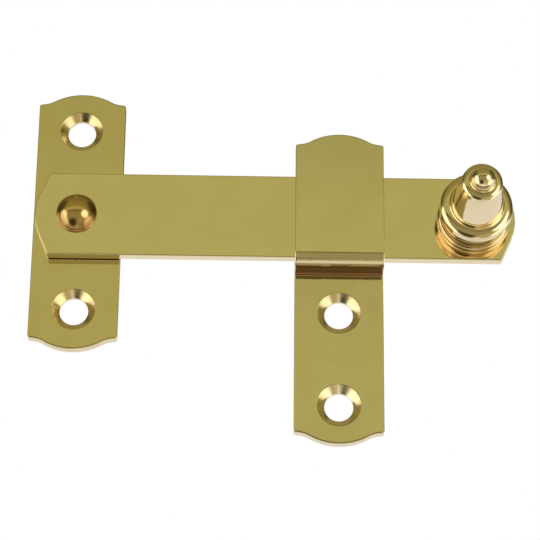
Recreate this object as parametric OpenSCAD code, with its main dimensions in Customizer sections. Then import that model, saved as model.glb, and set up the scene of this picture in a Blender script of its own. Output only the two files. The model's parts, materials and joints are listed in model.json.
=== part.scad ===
/* [Strip] */
// Width of the strip that the plate, the bar and the keeper are cut from
strip_w = 12.7; // [12:0.1:16]
// Thickness of the strip
strip_t = 1.6; // [1.4:0.1:2]

/* [Screw holes] */
// Radius of each screw hole
hole_r = 2.05; // [1.5:0.05:2.2]
// Radius of each countersink at the front face
countersink_r = 3.1; // [2.7:0.05:3.2]

/* [Pivot plate] */
// Length of the pivot plate, end to end
plate_len = 40; // [39:0.5:60]
// Distance between the plate's two screw holes
plate_hole_pitch = 28; // [25:0.5:29]

/* [Bar] */
// Distance from the pivot rivet to the knob
bar_reach = 57.1; // [54:0.1:80]
// Distance from the pivot rivet, or from the knob, to the nearer end of the bar
bar_overhang = 6; // [5.6:0.1:8]

/* [Pivot] */
// Radius of the rivet's shank
shank_r = 1.9; // [1.5:0.1:2.2]
// Radius of the rivet's domed head
head_r = 2.9; // [2.6:0.1:4]
// Height of the dome above the head's short rim
dome_h = 1.8; // [1.2:0.1:2.5]
// Thickness of the washer between the plate and the bar
washer_t = 0.25; // [0.2:0.05:0.5]
// Clearance of the turning bar, round the shank and along it
play = 0.05; // [0.03:0.01:0.09]

/* [Keeper] */
// Distance from the pivot rivet to the middle of the keeper
keeper_x = 37.8; // [28:0.1:38]
// Height of the lip's top above the pivot
lip_top = 12.3; // [10:0.1:20]
// Distance from the pivot down to the bottom of the leg
leg_bottom = 33.5; // [32:0.5:45]
// Distance from the pivot down to the upper screw hole
leg_hole_z = 14.05; // [13.5:0.05:15]
// Distance between the keeper's two screw holes
leg_hole_pitch = 13.8; // [9:0.1:14]
// Gap between the front of the bar and the back of the lip
lip_gap = 0.3; // [0.2:0.05:0.6]
// Gap between the bottom of the bar and the ledge that it rests on
ledge_gap = 0.05; // [0.03:0.01:0.2]
// Inner radius of the bend between the leg and the ledge
leg_bend_r = 0.5; // [0.3:0.05:0.8]
// Inner radius of the bend between the ledge and the lip
lip_bend_r = 0.35; // [0.2:0.05:0.6]

/* [Knob] */
// Radius of the ring at the foot of the knob
foot_r = 5.25; // [5:0.05:5.5]
// Radius of the flange above the ring
flange_r = 5.25; // [5.2:0.05:5.5]
// Radius of the neck where it meets the flange
neck_low_r = 3.8; // [3:0.05:3.85]
// Radius of the neck where it meets the cap
neck_r = 2.85; // [2.6:0.05:2.9]
// Radius of the cap
cap_r = 2.95; // [2.9:0.05:3.1]
// Height from the bar to the bottom of the cap
cap_h = 12.05; // [11:0.05:16]
// Radius of the ball on the tip
ball_r = 1.75; // [1.5:0.05:1.85]

/* [Hidden] */
$fn = 96;
// How far a cutting shape runs past the face that it cuts
over = 0.1;
// Clearance between a riveted shank or tail and its seat
seat = 0.02;
half_w = strip_w / 2;
bar_back = strip_t + washer_t + play;
bar_front = bar_back + strip_t;

// The bell-shaped ends of the plate and the keeper
crown_r = 0.66 * strip_w;
crown_a = 30;
hollow_r = 0.28 * strip_w;
shoulder_a = 8;

// The blunt round ends of the bar
tip_r = 0.63 * strip_w;
tip_a = 23.5;

// The countersunk tails of the rivet and the knob, peened flush with the back
tail_h = 0.6;
tail_flare = 0.5;
tail_sink = 0.05;
spigot_r = 1.5;

// The rivet's head
head_rim = 0.25;
dome_r = (head_r * head_r + dome_h * dome_h) / (2 * dome_h);

// The washer
washer_r = 4.6;

// The keeper's section, as depth out from the wall and height
lip_back = bar_front + lip_gap;
lip_front = lip_back + strip_t;
ledge_top = -half_w - ledge_gap;
ledge_bottom = ledge_top - strip_t;

// Points along an arc about c from angle a to angle b, n steps
function arc(c, r, a, b, n = 12) =
    [for (i = [0:n]) c + r * [cos(a + (b - a) * i / n), sin(a + (b - a) * i / n)]];

// Turns a shape drawn across X and up Y, and thick along Z, to stand on the wall and face -Y
module on_wall() {
    rotate([90, 0, 0]) children();
}

// Right half of a bell-shaped end at height len, from its shoulder to its middle: a shoulder that
// slopes up, a hollow arc and a crown arc
function bell_points(len) =
    let (
        low = [0, len - crown_r],
        outward = [sin(crown_a), cos(crown_a)],
        hollow = low + (crown_r + hollow_r) * outward,
        foot = hollow - hollow_r * [sin(shoulder_a), cos(shoulder_a)]
    )
    concat(
        [[half_w, foot[1] - (half_w - foot[0]) * tan(shoulder_a)]],
        arc(hollow, hollow_r, 270 - shoulder_a, 270 - crown_a, 8),
        [for (i = [1:12]) low + crown_r * [sin(crown_a * (1 - i / 12)), cos(crown_a * (1 - i / 12))]]
    );

// Outline of a strip with a bell-shaped end at height top and at depth bottom
module bell_strip(top, bottom) {
    up = bell_points(top);
    down = bell_points(bottom);
    last = len(up) - 1;
    polygon(concat(
        up,
        [for (i = [last - 1:-1:0]) [-up[i][0], up[i][1]]],
        [for (p = down) [-p[0], -p[1]]],
        [for (i = [last - 1:-1:0]) [down[i][0], -down[i][1]]]
    ));
}

// Outline of a blunt round tip at len along X: a straight flank, an arc and a straight flank
function tip_points(len) =
    let (
        middle = [len - tip_r, 0],
        touch = middle + tip_r * [cos(tip_a), sin(tip_a)],
        corner_x = touch[0] - (half_w - touch[1]) * tan(tip_a)
    )
    concat([[corner_x, -half_w]], arc(middle, tip_r, -tip_a, tip_a, 24), [[corner_x, half_w]]);

// A countersunk screw hole through the strip, to be cut
module screw_hole() {
    sink = countersink_r - hole_r;
    translate([0, 0, -over]) cylinder(r = hole_r, h = strip_t + 2 * over);
    translate([0, 0, strip_t - sink]) cylinder(r1 = hole_r, r2 = countersink_r + over, h = sink + over);
}

// The seat of a peened tail in the back of a strip, to be cut
module tail_seat(r) {
    translate([0, 0, -over]) cylinder(r = r + seat, h = strip_t + 2 * over);
    translate([0, 0, -over])
        cylinder(r1 = r + seat + tail_flare * (1 + over / tail_h), r2 = r + seat, h = tail_h + over);
}

// Outline of a shank that starts with its peened tail and ends at height top
function shank_points(r, top) = [
    [0, tail_sink], [r + tail_flare * (1 - tail_sink / tail_h), tail_sink], [r, tail_h], [r, top]
];

// A quarter of a bend in the strip about c, in the corner that dir points to
module bend(c, inner_r, dir) {
    intersection() {
        translate(c) difference() {
            circle(r = inner_r + strip_t);
            circle(r = inner_r);
        }
        translate(c + [dir[0] < 0 ? -10 : 0, dir[1] < 0 ? -10 : 0]) square(10);
    }
}

// The keeper's section: leg, bend, ledge, bend and lip
module keeper_section() {
    leg_bend = [strip_t + leg_bend_r, ledge_bottom - leg_bend_r];
    lip_bend = [lip_back - lip_bend_r, ledge_top + lip_bend_r];
    translate([0, -leg_bottom]) square([strip_t, leg_bend[1] + leg_bottom]);
    bend(leg_bend, leg_bend_r, [-1, 1]);
    translate([leg_bend[0], ledge_bottom]) square([lip_bend[0] - leg_bend[0], strip_t]);
    bend(lip_bend, lip_bend_r, [1, -1]);
    translate([lip_back, lip_bend[1]]) square([strip_t, lip_top - lip_bend[1]]);
}

// A shoulder that falls away from its level top to a rim at spot, as an arc of radius r over
// an angle of turn, from the rim up
function shoulder(spot, r, turn) =
    arc(spot - r * [sin(turn), cos(turn)], r, 90 - turn, 90);

// The knob's outline from the bar up, as radius and height: foot ring, cove, flange with a
// rounded shoulder, tapering neck, cap with a rounded shoulder, and ball
function knob_points() =
    let (
        foot_edge = 0.6,
        foot_in = foot_r - foot_edge,
        cove_r = 1.9,
        cove_sink = 0.2,
        cove = [foot_in - cove_sink + cove_r, 2.4],
        cove_low = 206.5,
        cove_high = 131.5,
        flange_low = 4,
        flange_side = 0.75,
        flange_round = 1.4,
        flange_turn = 52,
        cap_step = 0.1,
        cap_side = 0.85,
        cap_round = 1.1,
        cap_turn = 50,
        taper = 0.15,
        ball_rise = 0.6,
        ball_foot_r = 0.5,
        flange_top = shoulder([flange_r - taper, flange_low + flange_side], flange_round, flange_turn),
        neck_foot = flange_top[len(flange_top) - 1],
        neck_fillet = neck_foot[0] - neck_low_r,
        cap_top = shoulder([cap_r - taper, cap_h + cap_side], cap_round, cap_turn),
        ball = [0, cap_top[len(cap_top) - 1][1] + ball_rise],
        ball_low = -asin(ball_foot_r / ball_r)
    )
    concat(
        arc([foot_in, foot_edge], foot_edge, -90, 90),
        arc(cove, cove_r, cove_low, cove_high),
        [[flange_r, flange_low]],
        flange_top,
        arc(neck_foot + [0, neck_fillet], neck_fillet, 270, 180, 4),
        [[neck_r, cap_h], [cap_r, cap_h + cap_step]],
        cap_top,
        arc(ball, ball_r, ball_low, 90, 18)
    );

module pivot_plate() {
    color("goldenrod") difference() {
        on_wall() linear_extrude(strip_t) bell_strip(plate_len / 2, plate_len / 2);
        for (side = [-1, 1]) translate([0, 0, side * plate_hole_pitch / 2]) on_wall() screw_hole();
        on_wall() tail_seat(shank_r);
    }
}

module pivot_rivet() {
    base = bar_front + play;
    color("darkgoldenrod") on_wall() {
        rotate_extrude() polygon(concat(shank_points(shank_r, base + head_rim), [[0, base + head_rim]]));
        translate([0, 0, base]) cylinder(r = head_r, h = head_rim);
        intersection() {
            translate([0, 0, base + head_rim]) cylinder(r = head_r, h = dome_h);
            translate([0, 0, base + head_rim + dome_h - dome_r]) sphere(r = dome_r);
        }
    }
}

module pivot_washer() {
    color("khaki") translate([0, -strip_t, 0]) on_wall() difference() {
        cylinder(r = washer_r, h = washer_t);
        translate([0, 0, -over]) cylinder(r = shank_r + play, h = washer_t + 2 * over);
    }
}

module bar() {
    color("gold") translate([0, -bar_back, 0]) difference() {
        on_wall() linear_extrude(strip_t) polygon(concat(
            tip_points(bar_reach + bar_overhang),
            [for (p = tip_points(bar_overhang)) -p]
        ));
        on_wall() translate([0, 0, -over]) cylinder(r = shank_r + play, h = strip_t + 2 * over);
        translate([bar_reach, 0, 0]) on_wall() tail_seat(spigot_r);
    }
}

module knob() {
    spigot = shank_points(spigot_r, strip_t);
    body = [for (p = knob_points()) p + [0, strip_t]];
    color("goldenrod") translate([bar_reach, -bar_back, 0])
        on_wall() rotate_extrude() polygon(concat(spigot, body));
}

module keeper() {
    color("goldenrod") translate([keeper_x, 0, 0]) difference() {
        intersection() {
            rotate([90, 0, -90]) linear_extrude(strip_w, center = true) keeper_section();
            on_wall() translate([0, 0, -over]) linear_extrude(lip_front + 2 * over)
                bell_strip(lip_top, leg_bottom);
        }
        for (z = [leg_hole_z, leg_hole_z + leg_hole_pitch])
            translate([0, 0, -z]) on_wall() screw_hole();
    }
}

pivot_plate();
pivot_rivet();
pivot_washer();
bar();
knob();
keeper();
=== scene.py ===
import json
from math import acos, asin, atan2, cos, degrees, pi, radians, sin, tan

import bpy
from mathutils import Matrix, Vector
from mathutils.geometry import delaunay_2d_cdt


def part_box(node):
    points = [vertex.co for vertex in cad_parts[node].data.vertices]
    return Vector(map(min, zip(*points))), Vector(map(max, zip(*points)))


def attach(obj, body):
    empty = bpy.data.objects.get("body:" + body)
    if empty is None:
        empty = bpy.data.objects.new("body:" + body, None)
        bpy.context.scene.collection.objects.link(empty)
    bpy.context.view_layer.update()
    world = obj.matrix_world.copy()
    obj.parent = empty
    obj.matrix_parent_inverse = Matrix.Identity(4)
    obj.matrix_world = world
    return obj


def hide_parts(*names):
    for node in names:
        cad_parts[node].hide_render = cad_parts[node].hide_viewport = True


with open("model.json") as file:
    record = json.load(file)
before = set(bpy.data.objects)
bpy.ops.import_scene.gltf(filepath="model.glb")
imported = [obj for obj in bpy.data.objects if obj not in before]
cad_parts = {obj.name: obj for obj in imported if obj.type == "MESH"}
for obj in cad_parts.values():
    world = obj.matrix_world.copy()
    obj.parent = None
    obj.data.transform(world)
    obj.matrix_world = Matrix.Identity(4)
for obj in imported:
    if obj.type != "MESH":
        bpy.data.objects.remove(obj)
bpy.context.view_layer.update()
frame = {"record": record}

# ---------------------------------------------------------------------------------------------
# Sizes, in millimetres and degrees: those that the frame gives, then the design's own. Depth is
# measured out from the wall, towards -Y.
# ---------------------------------------------------------------------------------------------
MM = 0.001


def box_mm(node):
    """A node's lowest and highest corner in millimetres."""
    low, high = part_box(node)
    return low / MM, high / MM


plate_low, plate_high = box_mm("pivot_plate")
bar_low, bar_high = box_mm("bar")
knob_low, knob_high = box_mm("knob")
keeper_low, keeper_high = box_mm("keeper")
rivet_low, rivet_high = box_mm("pivot_rivet")
washer_low, washer_high = box_mm("pivot_washer")
mounts = {m["name"]: m for m in frame["record"]["mounts"]}

strip_w = plate_high.x - plate_low.x
strip_t = -plate_low.y
half_w = strip_w / 2
bar_back = -bar_high.y
bar_front = -bar_low.y
keeper_x = (keeper_low.x + keeper_high.x) / 2
lip_front = -keeper_low.y
lip_back = lip_front - strip_t
knob_x = (knob_low.x + knob_high.x) / 2
flange_r = (knob_high.x - knob_low.x) / 2

# Edges left by blanking: dished a little and then rounded at the front, crisper at the back
front_edge = 0.12
dish_r, dish_a = 1.6, 6
back_edge = 0.1
corner_r = 0.3
tip_corner_r = 0.35
# The bell-shaped ends of the plate and the keeper
crown_r = 0.66 * strip_w
crown_a = 30
hollow_r = 0.28 * strip_w
shoulder_a = 8
# The blunt round ends of the bar
tip_r = 0.63 * strip_w
tip_a = 23.5
# Screw holes
hole_r = mounts["plate_screws"]["dims"]["hole_r_mm"]
sink = 1.05
# Shanks and peened tails of the rivet and the knob
shank_r = 1.9
spigot_r = 1.5
tail_h = 0.6
tail_flare = 0.5
tail_sink = 0.05
# Clearances of the riveted seats and of the turning bar
seat = 0.02
play = 0.05
# The keeper's bends
ledge_gap = 0.05
leg_bend_r = 0.5
lip_bend_r = 0.35
# The rivet's head
head_rim = 0.25
# The knob, with heights above the front of the bar
foot_edge = 0.6
cove_r = 1.9
cove_sink = 0.2
cove_h = 2.4
cove_low, cove_high = 206.5, 131.5
flange_low = 4.0
flange_side = 0.75
flange_round, flange_turn = 1.4, 52
neck_low_r = 3.8
neck_r = 2.85
cap_h = 12.05
cap_r = 2.95
cap_step = 0.1
cap_side = 0.85
cap_round, cap_turn = 1.1, 50
taper = 0.15
ball_rise = 0.6
ball_fillet = 0.2
knob_edge = 0.06
# Small rounds at the mouths of the holes, and the bend radius that counts as a fully worn edge
hole_edge = 0.05
mouth_r = 0.15
edge_wear_r = 0.3

# Brass: the clean metal's colour, its deeper tone and its roughness
strip_colour, strip_deep, strip_rough = (0.91, 0.78, 0.47), (0.8, 0.62, 0.26), 0.09
bar_colour = (0.97, 0.86, 0.58)
knob_colour, knob_deep, knob_rough = (0.92, 0.78, 0.5), (0.82, 0.58, 0.24), 0.11
rivet_colour, rivet_deep, rivet_rough = (0.84, 0.62, 0.27), (0.6, 0.38, 0.12), 0.16
washer_colour, washer_deep, washer_rough = (0.62, 0.48, 0.22), (0.4, 0.28, 0.11), 0.3
# Tints set to give the shading that is seen: painted shade under the keeper's ledge and in its crease,
# with a painted highlight line below it, and painted shade low on the knob and round the foot of the
# rivet's dome
under_ledge_painted_shade = (0.27, 0.19, 0.11)
crease_painted_shade = (0.22, 0.08, 0.04)
crease_painted_highlight = (1.0, 0.97, 0.85)
groove_painted_shade = (0.68, 0.55, 0.4)
knob_foot_painted_shade = (0.8, 0.7, 0.56)
rivet_brow_painted_shade = (0.36, 0.27, 0.18)

# The room's light round the X axis, as (angle above the horizon in front, colour): 90 is
# overhead, -90 is below, and past them is behind the latch
room_bands = [
    (-180, (0.8, 0.79, 0.8)),
    (-138, (0.8, 0.79, 0.8)),
    (-120, (0.28, 0.26, 0.16)),
    (-98, (0.26, 0.25, 0.16)),
    (-86, (0.95, 0.93, 0.82)),
    (-60, (0.95, 0.92, 0.8)),
    (-46, (0.32, 0.29, 0.16)),
    (4, (0.31, 0.28, 0.14)),
    (8.5, (0.11, 0.08, 0.035)),
    (11, (0.11, 0.08, 0.035)),
    (16, (0.45, 0.435, 0.19)),
    (28, (0.45, 0.435, 0.19)),
    (38, (0.3, 0.26, 0.1)),
    (85, (0.26, 0.22, 0.08)),
    (112, (0.3, 0.26, 0.11)),
    (154, (0.24, 0.21, 0.1)),
    (166, (0.8, 0.79, 0.8)),
    (180, (0.8, 0.79, 0.8)),
]
# Patches of light and shade, as azimuth from the front, height, half width, softness and colour
room_patches = [
    (-28, -50, 13, 14, (0.07, 0.06, 0.03)),
    (40, -48, 12, 18, (0.5, 0.42, 0.24)),
    (-98, 32, 16, 18, (0.09, 0.1, 0.035)),
    (98, 32, 16, 18, (0.09, 0.09, 0.04)),
    (82, -28, 15, 15, (1.5, 1.4, 1.15)),
    (-118, -6, 14, 18, (0.9, 0.8, 0.5)),
    (-76, -24, 14, 12, (1.6, 1.5, 1.3)),
    (-70, -2, 16, 9, (1.6, 1.5, 1.3)),
    (44, -3, 14, 8, (1.8, 1.7, 1.5)),
]


# ---------------------------------------------------------------------------------------------
# Mesh tools. Every face corner carries its exact normal, so that flats stay flat in reflections.
# ---------------------------------------------------------------------------------------------
def unit(angle):
    """The 2-D direction at an angle in degrees."""
    return Vector((cos(radians(angle)), sin(radians(angle))))


def bow(centre, radius, start, end, steps=12, hollow=False):
    """Points along an arc, each with its normal: outward, or towards the centre if hollow."""
    side = -1 if hollow else 1
    turns = [unit(start + (end - start) * i / steps) for i in range(steps + 1)]
    return [(Vector(centre) + radius * t, side * t) for t in turns]


def rounded(corner, radius, start, end, steps=6):
    """A corner between sides whose normals are at angles start and end, rounded to a radius."""
    a, b = unit(start), unit(end)
    return bow(Vector(corner) - radius * (a + b) / (1 + a.dot(b)), radius, start, end, steps)


def straight(a, b):
    """Two points with the normal on the right of the way from a to b."""
    a, b = Vector(a), Vector(b)
    way = (b - a).normalized()
    return [(p, Vector((way.y, -way.x))) for p in (a, b)]


class Wall:
    """Places a piece on the wall: across is +X, up is +Z and out is -Y. A normal's height is where
    it stands along the strip, which matters on a bent one only."""

    def __init__(self, depth, x=0.0, z=0.0):
        self.origin = Vector((x, -depth, z))

    def spot(self, across, up, out):
        return self.origin + Vector((across, -out, up))

    def normal(self, across, up, out, height=0.0):
        return Vector((across, -out, up))


class BentStrip(Wall):
    """A strip that runs up the wall, bends out along a ledge and bends up again as a lip."""

    def __init__(self, x, ledge_top):
        super().__init__(0, x)
        self.leg_bend = Vector((strip_t + leg_bend_r, ledge_top - strip_t - leg_bend_r))
        self.lip_bend = Vector((lip_back - lip_bend_r, ledge_top + lip_bend_r))
        self.bends = [self.leg_bend.y]
        for length in (
            pi / 2 * (leg_bend_r + strip_t / 2),
            self.lip_bend.x - self.leg_bend.x,
            pi / 2 * (lip_bend_r + strip_t / 2),
        ):
            self.bends.append(self.bends[-1] + length)

    def lip_height(self, z):
        """The height along the strip of a point of the lip."""
        return z - self.lip_bend.y + self.bends[3]

    def section(self, height, out):
        """Depth and z of a point of the section, and the direction that out has there."""
        leg_end, ledge_start, ledge_end, lip_start = self.bends
        if height <= leg_end:
            return Vector((out, height)), Vector((1, 0))
        if height < ledge_start:
            turn = unit(90 * (height - leg_end) / (ledge_start - leg_end))
            facing = Vector((turn.x, -turn.y))
            return self.leg_bend + (out - strip_t - leg_bend_r) * facing, facing
        if height <= ledge_end:
            along = height - ledge_start
            return Vector((self.leg_bend.x + along, self.lip_bend.y - lip_bend_r - out)), Vector((0, -1))
        if height < lip_start:
            turn = unit(90 * (height - ledge_end) / (lip_start - ledge_end))
            facing = Vector((turn.y, -turn.x))
            return self.lip_bend + (lip_bend_r + out) * facing, facing
        return Vector((lip_back + out, height - lip_start + self.lip_bend.y)), Vector((1, 0))

    def spot(self, across, up, out):
        spot = self.section(up, out)[0]
        return self.origin + Vector((across, -spot.x, spot.y))

    def normal(self, across, up, out, height=0.0):
        facing = self.section(height, 0)[1]
        along = Vector((-facing.y, facing.x))
        flat = out * facing + up * along
        return Vector((across, -flat.x, flat.y))

    def rows(self, steps=10):
        """Heights across the two bends at which the strip needs a row of points."""
        leg_end, ledge_start, ledge_end, lip_start = self.bends
        first = [leg_end + (ledge_start - leg_end) * i / steps for i in range(steps + 1)]
        second = [ledge_end + (lip_start - ledge_end) * i / steps for i in range(steps + 1)]
        return first + second


class Shell:
    """Collects points, faces, corner normals and two marks on the points, and makes a mesh object
    of them. wear is how worn an edge is, and cut points away from a drilled hole's axis."""

    def __init__(self, place):
        self.place = place
        self.points, self.wear, self.cut, self.faces, self.normals = [], [], [], [], []

    def point(self, across, up, out, wear=0.0, cut=(0.0, 0.0, 0.0)):
        self.points.append(self.place.spot(across, up, out) * MM)
        self.wear.append(wear)
        self.cut.extend(cut)
        return len(self.points) - 1

    def face(self, *corners):
        """Each corner is a point's number and its normal, in order round the face."""
        kept = [c for i, c in enumerate(corners) if c[0] != corners[i - 1][0]]
        if len(kept) > 2:
            self.faces.append([c[0] for c in kept])
            self.normals.extend(c[1] for c in kept)

    def object(self, name, material):
        mesh = bpy.data.meshes.new(name)
        mesh.from_pydata(self.points, [], self.faces)
        mesh.polygons.foreach_set("use_smooth", [True] * len(self.faces))
        mesh.normals_split_custom_set(self.normals)
        worn = mesh.attributes.new("wear", "FLOAT", "POINT")
        worn.data.foreach_set("value", self.wear)
        drilled = mesh.attributes.new("cut", "FLOAT_VECTOR", "POINT")
        drilled.data.foreach_set("vector", self.cut)
        mesh.materials.append(material)
        piece = bpy.data.objects.new(name, mesh)
        bpy.context.scene.collection.objects.link(piece)
        return piece


def spin(shell, profile, steps=160):
    """Turns a profile round its axis. It is a list of smooth runs of ((radius, height), normal)."""
    angles = [2 * pi * i / steps for i in range(steps)]
    made = {}
    for run in profile:
        rings = []
        for i, (spot, normal) in enumerate(run):
            key = (round(spot.x, 4), round(spot.y, 4))
            if key not in made and spot.x < 1e-4:
                made[key] = [shell.point(0, 0, spot.y)] * steps
            if key not in made:
                # The tighter the profile turns, the more its edge is worn
                before = run[max(i - 1, 0)]
                gap = max((spot - before[0]).length, 1e-6)
                wear = min(1.0, edge_wear_r * (normal - before[1]).length / gap)
                made[key] = [
                    shell.point(spot.x * cos(a), spot.x * sin(a), spot.y, wear) for a in angles
                ]
            turned = [
                shell.place.normal(normal.x * cos(a), normal.x * sin(a), normal.y) for a in angles
            ]
            rings.append((made[key], turned))
        for low, high in zip(rings, rings[1:]):
            for i in range(steps):
                j = (i + 1) % steps
                shell.face(
                    (low[0][i], low[1][i]), (low[0][j], low[1][j]),
                    (high[0][j], high[1][j]), (high[0][i], high[1][i]),
                )


def rim(shell, outline, profile, wear=0.0, cut=0.0):
    """Runs a rim profile along a closed outline of (point, outward normal). The profile is a list
    of smooth runs of ((offset outward, depth), normal). wear and cut are the marks that its slopes
    get. Returns the rings at the back and front."""
    count = len(outline)
    first = last = None
    for run in profile:
        rings = []
        for spot, normal in run:
            ring = last if not rings else None
            if ring is None:
                slope = 2 * abs(normal.x * normal.y)
                ring = []
                for at, out in outline:
                    flat = at + spot.x * out
                    away = (*(cut * slope * out), 0.0)
                    ring.append((shell.point(flat.x, flat.y, spot.y, wear * slope, away), flat))
            turned = [
                shell.place.normal(normal.x * out.x, normal.x * out.y, normal.y, at.y)
                for at, out in outline
            ]
            rings.append((ring, turned))
            first, last = first or ring, ring
        for low, high in zip(rings, rings[1:]):
            for i in range(count):
                j = (i + 1) % count
                shell.face(
                    (low[0][i][0], low[1][i]), (low[0][j][0], low[1][j]),
                    (high[0][j][0], high[1][j]), (high[0][i][0], high[1][i]),
                )
    return first, last


def fill(shell, rings, side, rows=()):
    """Fills the flat inside the first ring and outside the others. side is 1 at the front and -1
    at the back. Each height in rows gets an edge straight across."""
    spots, numbers, loops = [], [], []
    for ring in rings:
        loops.append(list(range(len(spots), len(spots) + len(ring))))
        spots += [flat for _, flat in ring]
        numbers += [number for number, _ in ring]
    edges = []
    for row in rows:
        level = [i for i in loops[0] if abs(spots[i].y - row) < 1e-6]
        edges.append((min(level, key=lambda i: spots[i].x), max(level, key=lambda i: spots[i].x)))
    for loop in loops:
        edges += [(a, loop[(i + 1) % len(loop)]) for i, a in enumerate(loop)]
    in_hole = [set(loop) for loop in loops[1:]]
    triangles_inside = 1
    made = delaunay_2d_cdt(spots, edges, [], triangles_inside, 1e-5)
    for triangle in made[2]:
        old = [made[3][v][0] for v in triangle]
        if any(hole.issuperset(old) for hole in in_hole):
            continue
        a, b, c = (spots[v] for v in old)
        if (b - a).cross(c - a) * side < 0:
            old.reverse()
        shell.face(*(
            (numbers[v], shell.place.normal(0, 0, side, spots[v].y)) for v in old
        ))


def sheet(shell, outline, screws, bores=(), rows=()):
    """A blanked strip: its outline, its screw holes, its bores, each an outline and a rim profile,
    and its faces."""
    borders = [rim(shell, outline, blanked_rim(), wear=1.0)]
    borders += [rim(shell, hole, screw_rim(), cut=1.0) for hole in screws]
    borders += [rim(shell, hole, profile) for hole, profile in bores]
    fill(shell, [front for _, front in borders], 1, rows)
    fill(shell, [back for back, _ in borders], -1, rows)


# ---------------------------------------------------------------------------------------------
# Outlines and rims
# ---------------------------------------------------------------------------------------------
def blanked_rim():
    """The strip's outer rim: a small round at the back, the side, a round at the front and a
    shallow dish that leads into the front face."""
    meet = unit(90 - dish_a)
    dish_in = front_edge + (dish_r - front_edge) * meet.x
    edge_h = strip_t - dish_r + (dish_r - front_edge) * meet.y
    return [[
        *bow((-back_edge, back_edge), back_edge, -90, 0, 4),
        *bow((-front_edge, edge_h), front_edge, 0, 90 - dish_a, 8),
        *bow((-dish_in, strip_t - dish_r), dish_r, 90 - dish_a, 90, 6)[1:],
    ]]


def screw_rim():
    """A countersunk hole's rim: the land and the cone."""
    land = strip_t - sink
    return [
        [*bow((-hole_edge, hole_edge), hole_edge, -90, 0, 3), *straight((0, land - 0.1), (0, land))],
        [(Vector((0, land)), unit(45)), *rounded((-sink, strip_t), mouth_r, 45, 90, 5)],
    ]


def bore_rim():
    """A plain bore's rim."""
    return [[
        *bow((-hole_edge, hole_edge), hole_edge, -90, 0, 3),
        *bow((-hole_edge, strip_t - hole_edge), hole_edge, 0, 90, 3),
    ]]


def seat_rim():
    """The rim of a bore whose back is countersunk for a peened tail."""
    return [straight((-tail_flare, 0), (0, tail_h)), straight((0, tail_h), (0, strip_t))]


def circle(radius, across=0.0, up=0.0, steps=96):
    """A hole's outline: it runs clockwise, with normals towards its middle."""
    turns = [unit(-360 * i / steps) for i in range(steps)]
    return [(Vector((across, up)) + radius * t, -t) for t in turns]


def mirrored(points):
    """The same points on the other side of the middle, in the opposite order."""
    return [(Vector((-p.x, p.y)), Vector((-n.x, n.y))) for p, n in reversed(points)]


def turned_over(points):
    """The same points turned half round."""
    return [(-p, -n) for p, n in points]


def bell_end(height):
    """A bell-shaped end from its right shoulder over the crown to its left shoulder."""
    low = Vector((0, height - crown_r))
    hollow = low + (crown_r + hollow_r) * unit(90 - crown_a)
    foot = hollow - hollow_r * unit(90 - shoulder_a)
    shoulder = (half_w, foot.y - (half_w - foot.x) * tan(radians(shoulder_a)))
    half = [
        *rounded(shoulder, corner_r, 0, 90 - shoulder_a),
        *bow(hollow, hollow_r, 270 - shoulder_a, 270 - crown_a, 10, hollow=True),
        *bow(low, crown_r, 90 - crown_a, 90, 20)[1:],
    ]
    return half + mirrored(half)[1:]


def tip_end(length):
    """A blunt round end at +X: a corner, a straight flank, an arc, a flank and a corner."""
    middle = Vector((length - tip_r, 0))
    touch = middle + tip_r * unit(tip_a)
    corner = Vector((touch.x - (half_w - touch.y) * tan(radians(tip_a)), half_w))
    return [
        *rounded((corner.x, -corner.y), tip_corner_r, -90, -tip_a),
        *bow(middle, tip_r, -tip_a, tip_a, 30),
        *rounded(corner, tip_corner_r, tip_a, 90),
    ]


def tail(radius):
    """The peened tail of a rivet or spigot, from the middle of its back to its shank."""
    wide = radius + tail_flare * (1 - tail_sink / tail_h)
    return [
        straight((0, tail_sink), (wide, tail_sink)),
        straight((wide, tail_sink), (radius, tail_h)),
    ]


# ---------------------------------------------------------------------------------------------
# Materials
# ---------------------------------------------------------------------------------------------
class Nodes:
    """The node tree of a material or a world, with short ways to add nodes and link them."""

    def __init__(self, owner):
        owner.use_nodes = True
        self.tree = owner.node_tree

    def add(self, kind, settings=(), **inputs):
        """Adds a node. An input is given by its name, or by i and its number."""
        node = self.tree.nodes.new("ShaderNode" + kind)
        for key, value in dict(settings).items():
            setattr(node, key, value)
        for key, value in inputs.items():
            self.put(node.inputs[int(key[1:]) if key[1:].isdigit() else key], value)
        return node

    def put(self, socket, value):
        """Links a socket to another, or sets its value."""
        if isinstance(value, bpy.types.NodeSocket):
            self.tree.links.new(value, socket)
        else:
            socket.default_value = value

    def maths(self, operation, a, b=0.0, clamp=False):
        settings = {"operation": operation, "use_clamp": clamp}
        return self.add("Math", settings, i0=a, i1=b).outputs[0]

    def blend(self, share, a, b, kind="MIX"):
        node = self.add("Mix", {"data_type": "RGBA", "blend_type": kind})
        self.put(node.inputs[0], share)
        self.put(node.inputs[6], a)
        self.put(node.inputs[7], b)
        return node.outputs[2]

    def spread(self, value, low, high, to_low=0.0, to_high=1.0, kind="LINEAR"):
        settings = {"interpolation_type": kind}
        return self.add("MapRange", settings, i0=value, i1=low, i2=high, i3=to_low, i4=to_high).outputs[0]

    def ramp(self, value, stops, kind="LINEAR"):
        """The colour at a value, between stops of (value, colour) in rising order."""
        (low, first), (high, _) = stops[0], stops[-1]
        node = self.add("ValToRGB", i0=self.spread(value, low, high))
        node.color_ramp.interpolation = kind
        elements = node.color_ramp.elements
        elements.remove(elements[1])
        elements[0].color = (*first, 1)
        for place, colour in stops[1:]:
            elements.new((place - low) / (high - low)).color = (*colour, 1)
        return node.outputs[0]

    def noise(self, spot, scale, detail=3.0, rough=0.5):
        node = self.add("TexNoise", Vector=spot, Scale=scale, Detail=detail, Roughness=rough)
        return node.outputs["Fac"]


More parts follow.
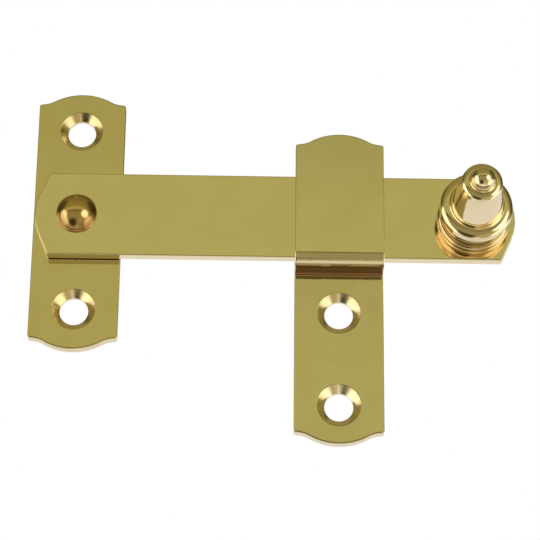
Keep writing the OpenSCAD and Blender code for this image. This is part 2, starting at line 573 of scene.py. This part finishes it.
def brass(
    name, colour, deep, roughness, stretch=None, axis_x=None, clouds=0.2, painted_light_stops=None, painted_light_axis=2,
):
    """Polished and lacquered brass in a colour with a deeper tone in clouds. stretch draws the
    polishing grain out along a direction, and axis_x instead gives turning marks round a knob's or
    a rivet's axis. The tone is multiplied by a list of (place, colour) along one axis: painted shade
    and painted highlight."""
    material = bpy.data.materials.new(name)
    n = Nodes(material)
    shader = n.tree.nodes["Principled BSDF"].inputs
    object_spot = n.add("TexCoord").outputs["Object"]
    spot = n.add("VectorMath", {"operation": "SCALE"}, i0=object_spot, i3=1 / MM).outputs[0]
    parts = n.add("SeparateXYZ", i0=spot)
    if axis_x is None:
        grain_spot = n.add("VectorMath", {"operation": "MULTIPLY"}, i0=spot, i1=stretch).outputs[0]
    else:
        across = n.maths("SUBTRACT", parts.outputs[0], axis_x)
        radius = n.maths("SQRT", n.maths(
            "ADD", n.maths("MULTIPLY", across, across),
            n.maths("MULTIPLY", parts.outputs[2], parts.outputs[2])))
        grain_spot = n.add("CombineXYZ", i0=radius, i1=parts.outputs[1]).outputs[0]
    grain = n.noise(grain_spot, 9.0, 4.0, 0.65)
    fine = n.noise(grain_spot, 32.0, 2.0, 0.6)
    mottle = n.noise(spot, 0.22, 3.0, 0.5)
    specks = n.noise(spot, 2.4, 5.0, 0.6)
    worn = n.add("Attribute", {"attribute_name": "wear"}).outputs["Fac"]
    drilled = n.add("Attribute", {"attribute_name": "cut"}).outputs["Vector"]
    cut = n.add("VectorMath", {"operation": "LENGTH"}, i0=drilled).outputs[1]
    around = n.add("VectorMath", {"operation": "NORMALIZE"}, i0=drilled).outputs[0]
    chatter = n.noise(around, 6.0, 4.0, 0.7)

    # Colour: clouds and grain, the painted shade and painted highlight along the piece, chatter in
    # drilled holes and worn edges
    share = n.maths("MULTIPLY", n.spread(mottle, 0.35, 0.68), clouds, clamp=True)
    tone = n.blend(share, (*colour, 1), (*deep, 1))
    tone = n.blend(n.spread(grain, 0.3, 0.7, 0.0, 0.14), tone, (*deep, 1))
    if painted_light_stops:
        tone = n.blend(1.0, tone, n.ramp(parts.outputs[painted_light_axis], painted_light_stops), "MULTIPLY")
    streaks = n.maths("MULTIPLY", cut, n.spread(chatter, 0.4, 0.62, 0.0, 0.75), clamp=True)
    tone = n.blend(streaks, tone, (*deep, 1))
    bright = tuple(min(1.0, c * 1.06 + 0.03) for c in colour)
    tone = n.blend(n.maths("MULTIPLY", worn, 0.6), tone, (*bright, 1))
    n.put(shader["Base Color"], tone)

    # Roughness: varied by grain and specks, duller where drilled and brighter where worn
    dull = n.maths("ADD", n.spread(grain, 0.3, 0.7, -0.03, 0.03), n.spread(specks, 0.4, 0.7, -0.02, 0.04))
    gloss = n.maths("ADD", n.maths("ADD", dull, roughness), n.maths("MULTIPLY", cut, 0.13))
    gloss = n.maths("MAXIMUM", n.maths("SUBTRACT", gloss, n.maths("MULTIPLY", worn, 0.03)), 0.03)
    n.put(shader["Roughness"], gloss)

    # Relief: a slow swell, polishing or turning scores, and the ribs that chatter leaves
    swell = n.add("Bump", Strength=0.06, Distance=0.4 * MM, Height=n.noise(spot, 0.35, 2.0))
    scores = n.add("Bump", Strength=0.5, Distance=0.0006 * MM, Height=n.maths(
        "ADD", grain, n.maths("MULTIPLY", fine, 0.5)), Normal=swell.outputs[0])
    ribs = n.add("Bump", Strength=0.6, Distance=0.02 * MM, Height=n.maths(
        "MULTIPLY", chatter, cut), Normal=scores.outputs[0])
    n.put(shader["Normal"], ribs.outputs[0])
    shader["Metallic"].default_value = 1.0
    shader["Coat Weight"].default_value = 0.25
    shader["Coat Roughness"].default_value = 0.06
    shader["Coat IOR"].default_value = 1.5
    return material


def grey(share):
    """A colour that darkens a tone evenly."""
    return (share, share, share)


def depth(out):
    """The y of a point at a depth out from the wall."""
    return -out


plain = grey(1.0)
# How the polishing grain is drawn out
along_x = (0.03, 1.0, 1.0)
along_z = (1.0, 1.0, 0.03)

# Painted shade on the plate, darker towards its top
plate_painted_shade = [(plate_low.z, grey(0.98)), (0, grey(0.98)), (plate_high.z, grey(0.9))]
# Painted shade on the bar, a little darker towards its top edge
bar_painted_shade = [(-half_w, plain), (half_w, grey(0.98))]

# Painted shade along the keeper, from the bottom of its leg to the top of its lip, darker up the lip,
# under the ledge and in the crease, with a painted highlight line below it; ledge is the ledge's
# underside
leg_middle = -22
ledge = -half_w - ledge_gap - strip_t
keeper_painted_light = [
    (keeper_low.z, grey(0.96)),
    (leg_middle, grey(0.97)),
    (ledge - leg_bend_r - 0.05, grey(0.88)),
    (ledge - 0.36, crease_painted_highlight),
    (ledge - 0.26, crease_painted_shade),
    (ledge - 0.12, crease_painted_shade),
    (ledge - 0.02, under_ledge_painted_shade),
    (ledge + 0.15, under_ledge_painted_shade),
    (ledge + 0.6, plain),
    (0, grey(0.95)),
    (keeper_high.z, grey(0.84)),
]

# Painted shade on the rivet, from the top of its dome to its tail: darker round the foot of the dome
rivet_painted_shade = [
    (rivet_low.y, plain),
    (rivet_low.y + 0.25, plain),
    (rivet_low.y + 1.3, rivet_brow_painted_shade),
    (depth(bar_front), rivet_brow_painted_shade),
    (depth(strip_t), plain),
    (rivet_high.y, plain),
]

# Painted shade on the knob, from its ball to its tail: darker in the cove under the flange and round the
# foot
knob_painted_shade = [
    (knob_low.y, plain),
    (depth(bar_front + flange_low + 0.1), plain),
    (depth(bar_front + flange_low - 0.2), groove_painted_shade),
    (depth(bar_front + cove_h - 0.6), groove_painted_shade),
    (depth(bar_front + 0.2), knob_foot_painted_shade),
    (depth(bar_front), knob_foot_painted_shade),
    (depth(bar_front - 0.1), plain),
    (depth(bar_back), plain),
]

plate_brass = brass(
    "strip_brass_plate", strip_colour, strip_deep, strip_rough, along_z, painted_light_stops=plate_painted_shade)
bar_brass = brass("strip_brass_bar", bar_colour, strip_deep, strip_rough, along_x, painted_light_stops=bar_painted_shade)
keeper_brass = brass(
    "strip_brass_keeper", bar_colour, strip_deep, strip_rough, along_z, painted_light_stops=keeper_painted_light)
knob_brass = brass(
    "turned_brass_knob", knob_colour, knob_deep, knob_rough,
    axis_x=knob_x, painted_light_stops=knob_painted_shade, painted_light_axis=1)
rivet_brass = brass(
    "rivet_brass", rivet_colour, rivet_deep, rivet_rough,
    axis_x=0.0, painted_light_stops=rivet_painted_shade, painted_light_axis=1)
washer_brass = brass(
    "washer_brass", washer_colour, washer_deep, washer_rough, axis_x=0.0, clouds=0.7)


# ---------------------------------------------------------------------------------------------
# Pieces
# ---------------------------------------------------------------------------------------------
def finish_piece(shell, node, material, body):
    """Makes the piece and lets it stand for its CAD node."""
    piece = shell.object(node + "_look", material)
    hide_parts(node)
    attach(piece, body)


def plate():
    shell = Shell(Wall(0))
    pitch = mounts["plate_screws"]["dims"]["spacing_y_mm"]
    outline = bell_end(plate_high.z) + turned_over(bell_end(-plate_low.z))
    screws = [circle(hole_r, up=side * pitch / 2) for side in (-1, 1)]
    sheet(shell, outline, screws, [(circle(shank_r + seat), seat_rim())])
    finish_piece(shell, "pivot_plate", plate_brass, "base")


def bar():
    shell = Shell(Wall(bar_back))
    outline = tip_end(bar_high.x) + turned_over(tip_end(-bar_low.x))
    bores = [(circle(shank_r + play), bore_rim()), (circle(spigot_r + seat, knob_x), seat_rim())]
    sheet(shell, outline, [], bores)
    finish_piece(shell, "bar", bar_brass, "swing_bar")


def keeper():
    place = BentStrip(keeper_x, -half_w - ledge_gap)
    shell = Shell(place)
    rows = place.rows()
    outline = [
        *bell_end(place.lip_height(keeper_high.z)),
        *((Vector((-half_w, row)), Vector((-1, 0))) for row in reversed(rows)),
        *turned_over(bell_end(-keeper_low.z)),
        *((Vector((half_w, row)), Vector((1, 0))) for row in rows),
    ]
    pattern = mounts["keeper_screws"]
    middle = pattern["pos_m"][2] / MM
    pitch = pattern["dims"]["spacing_y_mm"]
    screws = [circle(hole_r, up=middle + side * pitch / 2) for side in (-1, 1)]
    sheet(shell, outline, screws, rows=rows)
    finish_piece(shell, "keeper", keeper_brass, "base")


def rivet():
    shell = Shell(Wall(0))
    base = bar_front + play
    top = -rivet_low.y
    head_r = rivet_high.x
    dome_h = top - base - head_rim
    dome_r = (head_r ** 2 + dome_h ** 2) / (2 * dome_h)
    dome_a = degrees(acos(head_r / dome_r))
    soft = 0.06
    spin(shell, [
        *tail(shank_r),
        straight((shank_r, tail_h), (shank_r, base)),
        straight((shank_r, base), (head_r - soft, base)),
        [*bow((head_r - soft, base + soft), soft, -90, 0, 4),
         *rounded((head_r, base + head_rim), soft, 0, dome_a, 4),
         *bow((0, top - dome_r), dome_r, dome_a + 2, 90, 48)],
    ])
    finish_piece(shell, "pivot_rivet", rivet_brass, "base")


def washer():
    shell = Shell(Wall(0))
    low, high = -washer_high.y, -washer_low.y
    outer = washer_high.x
    inner = shank_r + play
    soft = 0.05
    spin(shell, [
        straight((inner, low), (outer - soft, low)),
        [*bow((outer - soft, low + soft), soft, -90, 0, 3),
         *bow((outer - soft, high - soft), soft, 0, 90, 3)],
        straight((outer - soft, high), (inner, high)),
        straight((inner, high), (inner, low)),
    ], 128)
    finish_piece(shell, "pivot_washer", washer_brass, "base")


def lean(a, b):
    """The angle of the normal on the right of the way from a to b."""
    way = b - a
    return degrees(atan2(-way.x, way.y))


def turned_band(low, step, side, radius, turn):
    """A turned band: its side from low up over side, leaning in by taper, then a rim, and a
    shoulder of the given radius. step is where the surface below comes from."""
    rim_at = low + Vector((-taper, side))
    below, out = lean(step, low), lean(low, rim_at)
    centre = rim_at - radius * unit(90 - turn)
    return [
        *straight(step, step + 0.5 * (low - step)),
        *rounded(low, knob_edge, below, out, 4),
        *rounded(rim_at, knob_edge, out, 90 - turn, 4),
        *bow(centre, radius, 92 - turn, 90, 24),
    ]


def knob():
    """The knob from its tail up: foot ring, cove, flange, tapering neck, cap and ball."""
    shell = Shell(Wall(bar_back, knob_x))
    up = Vector((0, strip_t))
    foot = up + Vector((flange_r - foot_edge, foot_edge))
    cove = up + Vector((foot.x - cove_sink + cove_r, cove_h))
    cove_arc = bow(cove, cove_r, cove_low, cove_high, 24, hollow=True)
    flange = turned_band(
        up + Vector((flange_r, flange_low)), cove_arc[-1][0], flange_side, flange_round, flange_turn)
    neck_foot = flange[-1][0]
    fillet_r = neck_foot.x - neck_low_r
    fillet = neck_foot + Vector((0, fillet_r))
    neck_top = up + Vector((neck_r, cap_h))
    neck_a = lean(Vector((neck_low_r, fillet.y)), neck_top)
    fillet_arc = bow(fillet, fillet_r, 270, 180 + neck_a, 12, hollow=True)
    cap = turned_band(
        up + Vector((cap_r, cap_h + cap_step)), neck_top, cap_side - cap_step, cap_round, cap_turn)
    ball_r = -knob_low.y - bar_back - cap[-1][0].y - ball_rise
    ball = Vector((0, cap[-1][0].y + ball_rise))
    ball_a = degrees(asin((ball_rise - ball_fillet) / (ball_r + ball_fillet)))
    hollow = ball + (ball_r + ball_fillet) * unit(-ball_a)
    spin(shell, [
        *tail(spigot_r),
        straight((spigot_r, tail_h), (spigot_r, strip_t)),
        straight((spigot_r, strip_t), (foot.x, strip_t)),
        bow(foot, foot_edge, -90, 90, 20),
        straight((foot.x, foot.y + foot_edge), cove_arc[0][0]),
        cove_arc,
        flange,
        [*fillet_arc, (neck_top, unit(neck_a))],
        cap,
        [*bow(hollow, ball_fillet, 270, 180 - ball_a, 8, hollow=True),
         *bow(ball, ball_r, -ball_a, 90, 40)],
    ], 192)
    finish_piece(shell, "knob", knob_brass, "swing_bar")


plate()
washer()
bar()
rivet()
knob()
keeper()


# ---------------------------------------------------------------------------------------------
# Floor, light and camera
# ---------------------------------------------------------------------------------------------
def floor():
    """A plain pale floor under the latch. Its half width and level are in metres."""
    size, level = 4.0, -0.19
    mesh = bpy.data.meshes.new("floor")
    spots = [(-size, -size, level), (size, -size, level), (size, size, level), (-size, size, level)]
    mesh.from_pydata(spots, [], [(0, 1, 2, 3)])
    material = bpy.data.materials.new("floor_paint")
    n = Nodes(material)
    shader = n.tree.nodes["Principled BSDF"].inputs
    pale = n.noise(n.add("TexCoord").outputs["Object"], 3.0)
    n.put(shader["Base Color"], n.blend(pale, (0.86, 0.86, 0.85, 1), (0.9, 0.9, 0.89, 1)))
    shader["Roughness"].default_value = 0.9
    mesh.materials.append(material)
    piece = bpy.data.objects.new("floor", mesh)
    bpy.context.scene.collection.objects.link(piece)
    piece.visible_glossy = False


def studio():
    """The room's light by direction: bands round the X axis, and soft patches over them. The
    camera's background and the light on the floor are plain white."""
    world = bpy.data.worlds.new("studio")
    bpy.context.scene.world = world
    n = Nodes(world)
    n.tree.nodes.clear()
    way = n.add("TexCoord").outputs["Generated"]
    parts = n.add("SeparateXYZ", i0=way)
    out = n.maths("MULTIPLY", parts.outputs[1], -1.0)
    angle = n.maths("DEGREES", n.maths("ARCTAN2", parts.outputs[2], out))
    shade = n.ramp(angle, room_bands, "EASE")
    for azimuth, height, width, soft, light in room_patches:
        facing = Vector((
            sin(radians(azimuth)) * cos(radians(height)),
            -cos(radians(azimuth)) * cos(radians(height)),
            sin(radians(height)),
        ))
        near = n.add("VectorMath", {"operation": "DOT_PRODUCT"}, i0=way, i1=facing).outputs[1]
        edge, core = cos(radians(width + soft)), cos(radians(width))
        shade = n.blend(n.spread(near, edge, core, kind="SMOOTHSTEP"), shade, (*light, 1))
    rays = n.add("LightPath").outputs
    whitened = n.maths("MAXIMUM", rays["Is Camera Ray"], rays["Is Diffuse Ray"])
    background = n.add("Background", i0=n.blend(whitened, shade, (1, 1, 1, 1)))
    n.tree.links.new(background.outputs[0], n.add("OutputWorld").inputs[0])


def camera():
    """Looks up at the latch from below and in front, a little turned and rolled. The distance and
    the point that it aims at are in millimetres."""
    pitch, yaw, roll = radians(22.15), radians(-0.45), radians(0.65)
    distance = 313.5
    aim = Vector((27.93, 0, -6.93))
    view = Vector((-sin(yaw) * cos(pitch), cos(yaw) * cos(pitch), sin(pitch)))
    right = view.cross(Vector((0, 0, 1))).normalized()
    up = right.cross(view)
    rolled_right = cos(roll) * right + sin(roll) * up
    rolled_up = cos(roll) * up - sin(roll) * right
    data = bpy.data.cameras.new("camera")
    data.sensor_width = 36
    data.lens = 144.9
    data.clip_start = 0.01
    data.clip_end = 20
    shown = bpy.data.objects.new("camera", data)
    axes = Matrix((rolled_right, rolled_up, -view)).transposed()
    shown.matrix_world = Matrix.Translation((aim - view * distance) * MM) @ axes.to_4x4()
    bpy.context.scene.collection.objects.link(shown)
    bpy.context.scene.camera = shown


floor()
studio()
camera()
bpy.context.scene.view_settings.view_transform = "Standard"
